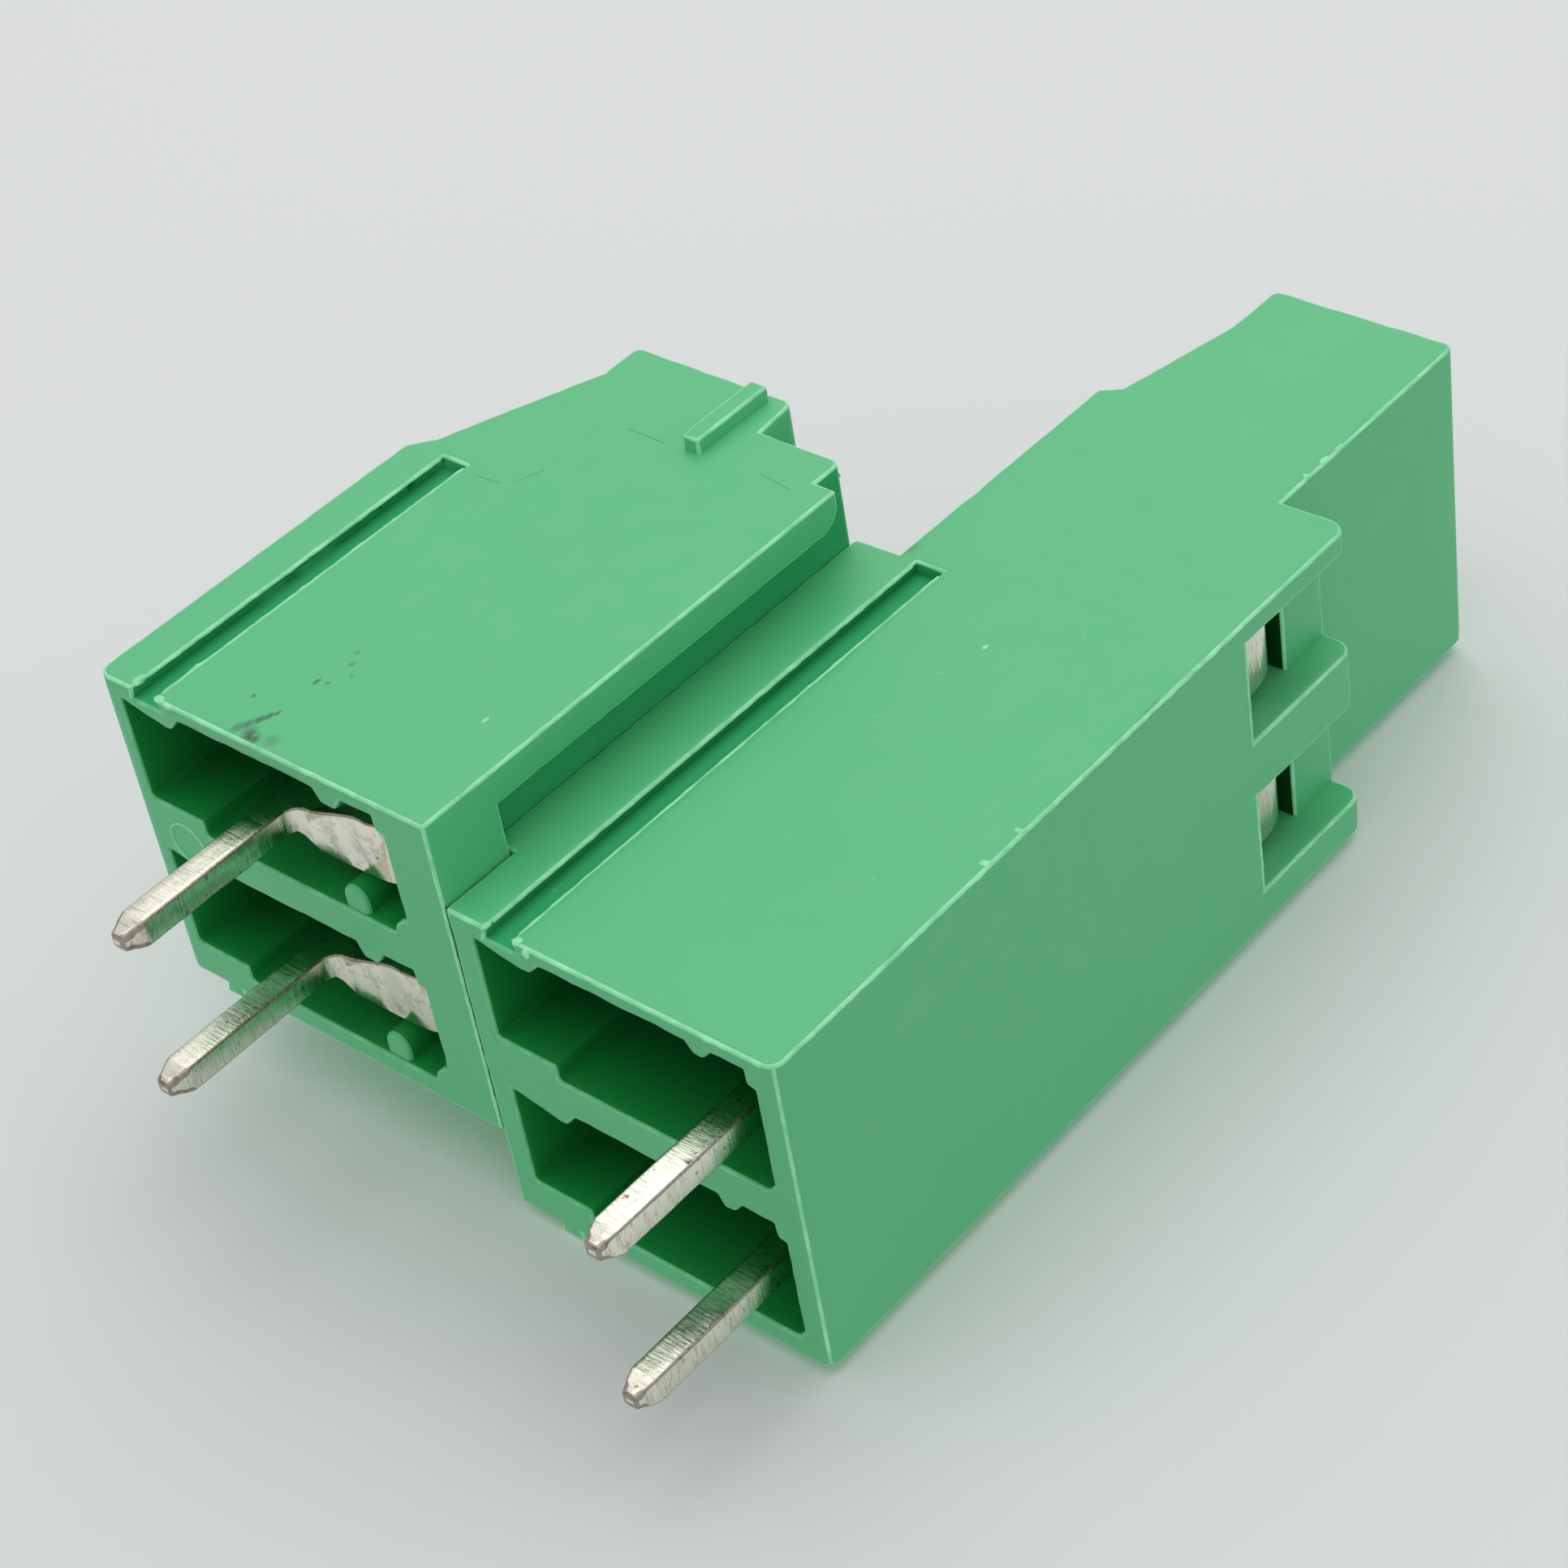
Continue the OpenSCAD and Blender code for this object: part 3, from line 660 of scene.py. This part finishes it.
dress_housing(LOWER, GREEN_LOWER, INSIDE_LOWER, 0, 1)
dress_housing(UPPER, GREEN_UPPER, INSIDE_UPPER, BLOCK_DEPTH, -1)

# Contacts: welded, rounded, cut into short lengths and made a little uneven
STRIP_WELD, STRIP_ROUND = 0.035, 0.06
STRIP_CUTS = ((2, -5.12, -4.3, 0.1), (2, -4.2, 21, 0.3), (1, 3.2, 21.2, 0.3))  # axis, start, stop, step
STRIP_DENTS = ((0.016, 1.1, 7), (0.006, 0.35, 40))  # height, scale and first seed
PIN_TAPER = -4.55
LOWER_TIP = -4.9
UPPER_TIP = LOWER_TIP + 0.35
TIP_SMOOTHING = 0.45
TAPER_ROUNDS, TIP_ROUNDS = 2, 5


def soften(bm, top, rounds):
    """Smooths the points of a pin's end below some height."""
    tip = [v for v in bm.verts if z_of(v.co) < top]
    for _ in range(rounds):
        bmesh.ops.smooth_vert(
            bm, verts=tip, factor=TIP_SMOOTHING, use_axis_x=True, use_axis_y=True, use_axis_z=True
        )


def dress_contact(row, pole, number):
    node = f"{row.name}_contact_{pole}"
    bm = merged_copy(node, STRIP_WELD)
    round_edges(bm, STRIP_ROUND)
    for cuts in STRIP_CUTS:
        slice_up(bm, *cuts)
    soften(bm, PIN_TAPER, TAPER_ROUNDS)
    soften(bm, LOWER_TIP if row is LOWER else UPPER_TIP, TIP_ROUNDS)
    for tall, scale, seed in STRIP_DENTS:
        dent(bm, tall, scale, seed + 3 * number)
    keep_inside(bm)
    piece(f"{row.name}_strip_{pole}", bm, (TIN, TIN_RIM), "block", node)


for number, (row, pole) in enumerate(((LOWER, 1), (LOWER, 2), (UPPER, 1), (UPPER, 2))):
    dress_contact(row, pole, number)

# Cages and screws
CAGE_ROUND, SCREW_ROUND = 0.08, 0.04
SCREW_R, CORE_R = 1.25, 1.1  # the thread's crest and core
SHANK_WITHIN = 1.3  # the solid screw's shank lies within this of its axis
THREAD_PITCH, THREAD_STEPS = 0.45, 28
THREAD_FOOT, FOOT_HALF, CREST_HALF = CORE_R - 0.04, 0.19, 0.02  # the ridge's foot lies in the core
RUN_OUT, LAST_FADE = 6, 0.02  # steps over which the thread rises at its ends, and its last share
HEAD_Z, THREAD_LOW, THREAD_HIGH = 6.05, 1.2, 5.8  # above the bars' level


def dress_cage(row, pole):
    node = f"{row.name}_cage_{pole}"
    bm = merged_copy(node)
    round_edges(bm, CAGE_ROUND)
    piece(f"{node}_dressed", bm, (CAGE_STEEL, CAGE_STEEL), node, node)


def thread(bm, centre, low, high):
    """A helical ridge between two heights, as a closed ribbon."""
    turns = (high - low) / THREAD_PITCH
    rows = []
    for i in range(int(turns * THREAD_STEPS) + 1):
        angle = math.tau * i / THREAD_STEPS
        z = low + THREAD_PITCH * i / THREAD_STEPS
        fade = min(1.0, i / RUN_OUT, (turns * THREAD_STEPS - i) / RUN_OUT + LAST_FADE)
        crest = CORE_R + (SCREW_R - CORE_R) * fade
        section = (
            (THREAD_FOOT, -FOOT_HALF), (crest, -CREST_HALF), (crest, CREST_HALF), (THREAD_FOOT, FOOT_HALF),
        )
        points = [Vector((r * math.cos(angle), r * math.sin(angle), z + dz)) for r, dz in section]
        rows.append([bm.verts.new(centre + point * MM) for point in points])
    join_rows(bm, rows, turned=True)


def dress_screw(row, pole):
    """Thins a screw's shank to the thread's core and winds the thread round it."""
    node = f"{row.name}_screw_{pole}"
    bm = merged_copy(node)
    centre = at(row.middle + POLES[pole - 1], row.axis, row.level)
    for v in bm.verts:
        arm = (v.co - centre) * Vector((1, 1, 0))
        below_head = v.co.z - centre.z < (HEAD_Z + SLACK) * MM
        if below_head and CORE_R * MM < arm.length < SHANK_WITHIN * MM:
            v.co -= arm * (1 - CORE_R * MM / arm.length)
    round_edges(bm, SCREW_ROUND)
    thread(bm, centre, THREAD_LOW, THREAD_HIGH)
    piece(f"{node}_dressed", bm, (SCREW_STEEL, SCREW_STEEL), node, node)


for row in (LOWER, UPPER):
    for pole in (1, 2):
        dress_cage(row, pole)
        dress_screw(row, pole)


# Flash, burrs and fine mould lines that stand out of the green faces
RIDGE_STEP = 0.08
RIDGE_COARSE, RIDGE_FINE, RIDGE_FINE_SHARE = 1.9, 5.3, 0.7
RIDGE_GAIN = 1.5  # how far its noise takes a ridge from low towards high
RIDGE_CREST = 0.7  # the share of its height at which a ridge stands
END_STEPS, END_SHARE = 3, 0.05  # steps over which a ridge rises at its ends, and its share there
WANDER_WAVES = 2.7
SUNK = -0.04  # the height of a ridge's feet, a little under the face
CRUMB_WAVES, CRUMB_WOBBLE = 1.7, 0.35
RING_STEPS, RING_WOBBLE = 48, 0.03


def cross_section(tall):
    """A ridge's four points across its run: the share of its width, and the height in mm."""
    return ((-0.5, SUNK), (-0.18, tall), (0.18, tall), (0.5, SUNK))


def ridge(bm, start, end, outward, width, low, high, seed, lumps=(), wander=0.25):
    """An uneven ridge along a line, in mm; lumps are (place, reach, height)."""
    start, end, outward = Vector(start), Vector(end), Vector(outward).normalized()
    length = (end - start).length
    side = (end - start).normalized().cross(outward)
    count = max(3, int(length / RIDGE_STEP))
    rows = []
    for i in range(count + 1):
        s = length * i / count
        rough = noise.noise(Vector((s * RIDGE_COARSE, seed, 0)))
        rough += RIDGE_FINE_SHARE * noise.noise(Vector((s * RIDGE_FINE, seed, 5)))
        tall = low + (high - low) * max(0.0, rough) * RIDGE_GAIN
        tall += sum(size * math.exp(-(((s - place) / reach) ** 2)) for place, reach, size in lumps)
        tall *= min(1.0, min(i, count - i) / END_STEPS + END_SHARE)
        drift = wander * width * noise.noise(Vector((s * WANDER_WAVES, seed, 9)))
        base = start + (end - start) * (i / count)
        section = cross_section(RIDGE_CREST * tall)
        points = [base + side * (u * width + drift) + outward * h for u, h in section]
        rows.append([bm.verts.new(at(*point)) for point in points])
    join_rows(bm, rows)


def crumb(bm, centre, size, seed):
    """A small lump of flash."""
    made = bmesh.ops.create_icosphere(bm, subdivisions=3, radius=1.0)
    for v in made["verts"]:
        wobble = 1 + CRUMB_WOBBLE * noise.noise(v.co * CRUMB_WAVES + Vector((seed, 0, 0)))
        v.co = at(*(Vector(centre) + Vector([c * s * wobble for c, s in zip(v.co, size)])))


def pin_mark(bm, x, y, radius, width, tall):
    """A round burr, left by an ejector pin on the face towards the board."""
    rows = []
    for i in range(RING_STEPS):
        angle = math.tau * i / RING_STEPS
        way = Vector((math.cos(angle), math.sin(angle), 0))
        reach = radius * (1 + RING_WOBBLE * noise.noise(way + Vector((0, 0, 3))))
        section = [(reach + u * width, h) for u, h in cross_section(tall)]
        rows.append([bm.verts.new(at(x + r * way.x, y + r * way.y, -h)) for r, h in section])
    join_rows(bm, rows, closed=True)


def side_ridge(bm, x, start, end, lean, *form, **more):
    """A ridge on a +X face; its ends and the lean of its crest are (y, z), and form is as in ridge()."""
    ridge(bm, (x, *start), (x, *end), (1, *lean), *form, **more)


def cross_ridge(bm, span, place, lean, *form):
    """A ridge along x at some (y, z) on the back; form is as in ridge()."""
    ridge(bm, (span[0], *place), (span[1], *place), (0, 1, lean), *form)


EDGE = 0.02  # how far behind the sharp corner a ridge's foot lies
LOW_X, UP_X = LOWER_SIDE - EDGE, UPPER_SIDE - EDGE
GROOVE_FOOT = 0.3
SIDE_RIDGES = (  # as side_ridge() takes them
    (UP_X, (22.25, 0.42), (22.07, 18.6), (0.15, 0), 0.12, 0.016, 0.045, 3, (
        (7.7, 0.14, 0.12), (8.3, 0.12, 0.07), (9.0, 0.14, 0.12), (10.1, 0.12, 0.09), (3.7, 0.1, 0.07),
        (12.9, 0.1, 0.05),
    )),
    (UP_X, (14.5, EDGE), (21.92, EDGE), (0, -0.6), 0.12, 0.014, 0.06, 11, ((0.4, 0.3, 0.05),)),
    (UP_X, (12.0, EDGE), (13.1, EDGE), (0, -0.6), 0.12, 0.012, 0.05, 12),
    (LOW_X, (2.7, EDGE), (11.7, EDGE), (0, -0.6), 0.12, 0.014, 0.055, 21, ((0.5, 0.3, 0.04),)),
    (LOW_X, (0.40, EDGE), (1.3, EDGE), (0, -0.6), 0.11, 0.012, 0.04, 22),
    (LOW_X, (11.76, 0.1), (11.76, 15.4), (0.2, 0), 0.10, 0.010, 0.03, 41, ((4.1, 0.2, 0.03),)),
    (UP_X, (19.96, 24.2), (19.96, 31.3), (0.2, 0), 0.10, 0.008, 0.03, 43,
     ((0.5, 0.15, 0.05), (1.3, 0.2, 0.04))),
)
GROOVE_RIDGES = (  # x, y and top of a groove's edge, lean of the crest along y, then as ridge() from low
    (LOW_X, 1.33, 11.3, 0.2, 0.012, 0.03, 31),
    (LOW_X, 2.21, 11.3, -0.2, 0.010, 0.045, 32, ((1.1, 0.3, 0.05),)),
    (UP_X, 13.16, 16.4, 0.2, 0.014, 0.03, 33),
    (UP_X, 14.04, 16.4, -0.2, 0.008, 0.03, 34),
)
WINDOW_SPANS = ((-0.13, 3.12), (-5.21, -1.96))
PAD_SPANS = ((3.15, 3.75), (-1.94, -0.15), (-6.3, -5.23))
CROSS_RIDGES = (  # spans along x, then as cross_ridge() takes them, with the first span's seed
    (WINDOW_SPANS, (PAD_BACK, 18.67), 0.2, 0.10, 0.018, 0.035, 51),
    (WINDOW_SPANS, (20.94, 23.41), 0.4, 0.09, 0.016, 0.03, 53),
    (PAD_SPANS, (22.06, 22.92), 0.6, 0.10, 0.016, 0.03, 55),
)
CRUMBS = (  # middle and half sizes, in mm
    ((LOW_X, 1.28, 0.35), (0.07, 0.13, 0.26)),
    ((LOW_X - 0.02, 2.35, 0.1), (0.06, 0.2, 0.12)),
    ((LOW_X - 0.03, 2.75, 0.02), (0.07, 0.16, 0.08)),
    ((UP_X, 13.14, 0.1), (0.06, 0.1, 0.16)),
    ((UP_X - 0.02, 14.2, 0.12), (0.06, 0.16, 0.14)),
    ((UP_X - 0.15, 14.55, 0.0), (0.14, 0.14, 0.07)),
    ((UP_X, *UPPER_SPECK), (0.025, 0.08, 0.12)),
    ((LOW_X, *LOWER_SPECK), (0.03, 0.05, 0.13)),
    ((LOW_X - 0.45, 10.85, 16.5), (0.1, 0.14, 0.05)),
    ((UP_X, 19.92, 24.68), (0.05, 0.11, 0.12)),
    ((UP_X, 19.90, 25.50), (0.05, 0.09, 0.20)),
    ((UP_X, 19.93, 26.20), (0.05, 0.09, 0.16)),
    ((UP_X, 22.02, 9.42), (0.05, 0.15, 0.10)),
    ((UP_X, 22.04, 8.08), (0.05, 0.13, 0.11)),
)

bm = bmesh.new()
for form in SIDE_RIDGES:
    side_ridge(bm, *form)
for x, y, top, lean, *form in GROOVE_RIDGES:
    side_ridge(bm, x, (y, GROOVE_FOOT), (y, top), (lean, 0), 0.09, *form)
for spans, *form, seed in CROSS_RIDGES:
    for number, span in enumerate(spans):
        cross_ridge(bm, span, *form, seed + number)
for number, (centre, size) in enumerate(CRUMBS):
    crumb(bm, centre, size, number + 1)
pin_mark(bm, x=1.28, y=1.75, radius=0.66, width=0.08, tall=0.035)
keep_inside(bm)
# The flash takes the rims' green, with its painted highlight
piece("flash", bm, (GREEN_RIM_HIGHLIGHT,), "block", crease=FLASH_CREASE)

# The mould lines, in a darker green of painted shade
MOULD_LINES = (  # start and end as (y, z) on the lower housing's +X face
    ((2.47, 11.19), (3.87, 11.3)), ((3.87, 11.3), (4.36, 12.53)), ((4.75, 14.86), (6.52, 14.85)),
    ((9.34, 15.07), (10.92, 14.84)),
)
bm = bmesh.new()
for number, (start, end) in enumerate(MOULD_LINES):
    side_ridge(bm, LOW_X, start, end, (0, 0), 0.08, 0.034, 0.038, 60 + number, wander=0.1)
side_ridge(bm, UP_X, (18.24, 16.59), (19.34, 16.65), (0, 0), 0.045, 0.024, 0.032, 70, wander=0.3)
keep_inside(bm)
piece("mould_lines", bm, (GREEN_MOULD_LINE_SHADE,), "block", crease=FLASH_CREASE)

# Painted shadow: a dark ridge where the two housings meet on the board's side, standing for the shade in
# the gap between them
JOINT_END, JOINT_Y, JOINT_Z = 3.78, 11.81, 0.07
bm = bmesh.new()
ridge(
    bm, (-JOINT_END, JOINT_Y, JOINT_Z), (JOINT_END, JOINT_Y, JOINT_Z), (0, 0, -1),
    0.10, 0.02, 0.05, 80, wander=0.35,
)
piece("joint_shadow_line", bm, (GREEN_GAP_SHADOW,), "block", crease=FLASH_CREASE)

# The pale floor, which is seen from above only and lets light through from below
FLOOR_COLOUR = (0.76, 0.77, 0.765)
FLOOR_HALF = 0.2  # in metres
FLOOR_CLOUD, FLOOR_GRAIN = (12, 3, 0.5), (2500, 2, 0.5)
FLOOR_DIM, FLOOR_TALL, FLOOR_BUMP = 0.985, 0.02, 0.2


def floor_material():
    n = material_nodes("pale_floor")
    base = n.mix(n.noise(*FLOOR_CLOUD), dimmed(FLOOR_COLOUR, FLOOR_DIM), FLOOR_COLOUR)
    matt = n.add("ShaderNodeBsdfDiffuse")
    n.feed(base, matt.inputs["Color"])
    n.feed(n.bump(n.noise(*FLOOR_GRAIN), FLOOR_TALL, FLOOR_BUMP), matt.inputs["Normal"])
    clear = n.add("ShaderNodeBsdfTransparent")
    front = n.math("SUBTRACT", 1.0, n.add("ShaderNodeNewGeometry").outputs["Backfacing"])
    n.choose(n.math("MULTIPLY", n.seen(), front), clear, matt)
    return n.owner


bm = bmesh.new()
corners = ((-1, -1), (1, -1), (1, 1), (-1, 1))
bm.faces.new([bm.verts.new((FLOOR_X * MM, y * FLOOR_HALF, z * FLOOR_HALF)) for y, z in corners])
floor_mesh = bpy.data.meshes.new("floor")
bm.to_mesh(floor_mesh)
bm.free()
floor_mesh.materials.append(floor_material())
floor = bpy.data.objects.new("floor", floor_mesh)
bpy.context.scene.collection.objects.link(floor)

# The light: an even sky that lights the block, another that is seen, and two square lamps
SKY_LIGHT, SKY_STRENGTH = (0.97, 0.99, 1.0, 1), 0.66
SKY_SEEN = (0.72, 0.73, 0.725, 1)
AIM = (0, 0, 12)

world = bpy.data.worlds.new("world")
bpy.context.scene.world = world
n = Nodes(world, "ShaderNodeOutputWorld")
lit = n.add("ShaderNodeBackground", Color=SKY_LIGHT, Strength=SKY_STRENGTH)
shown = n.add("ShaderNodeBackground", Color=SKY_SEEN, Strength=1.0)
n.choose(n.seen(), lit, shown)


def softbox(name, place, size, watts, colour):
    """A square lamp that faces the block; place and size are in mm."""
    data = bpy.data.lights.new(name, "AREA")
    data.shape = "SQUARE"
    data.size = size * MM
    data.energy = watts
    data.color = colour
    obj = bpy.data.objects.new(name, data)
    bpy.context.scene.collection.objects.link(obj)
    obj.location = Vector(place) * MM
    obj.rotation_mode = "QUATERNION"
    obj.rotation_quaternion = (Vector(AIM) * MM - obj.location).to_track_quat("-Z", "Y")


softbox("key", place=(185, -75, 150), size=230, watts=0.105, colour=(1.0, 0.99, 0.97))
softbox("top", place=(220, 0, 12), size=260, watts=0.14, colour=(1, 1, 1))
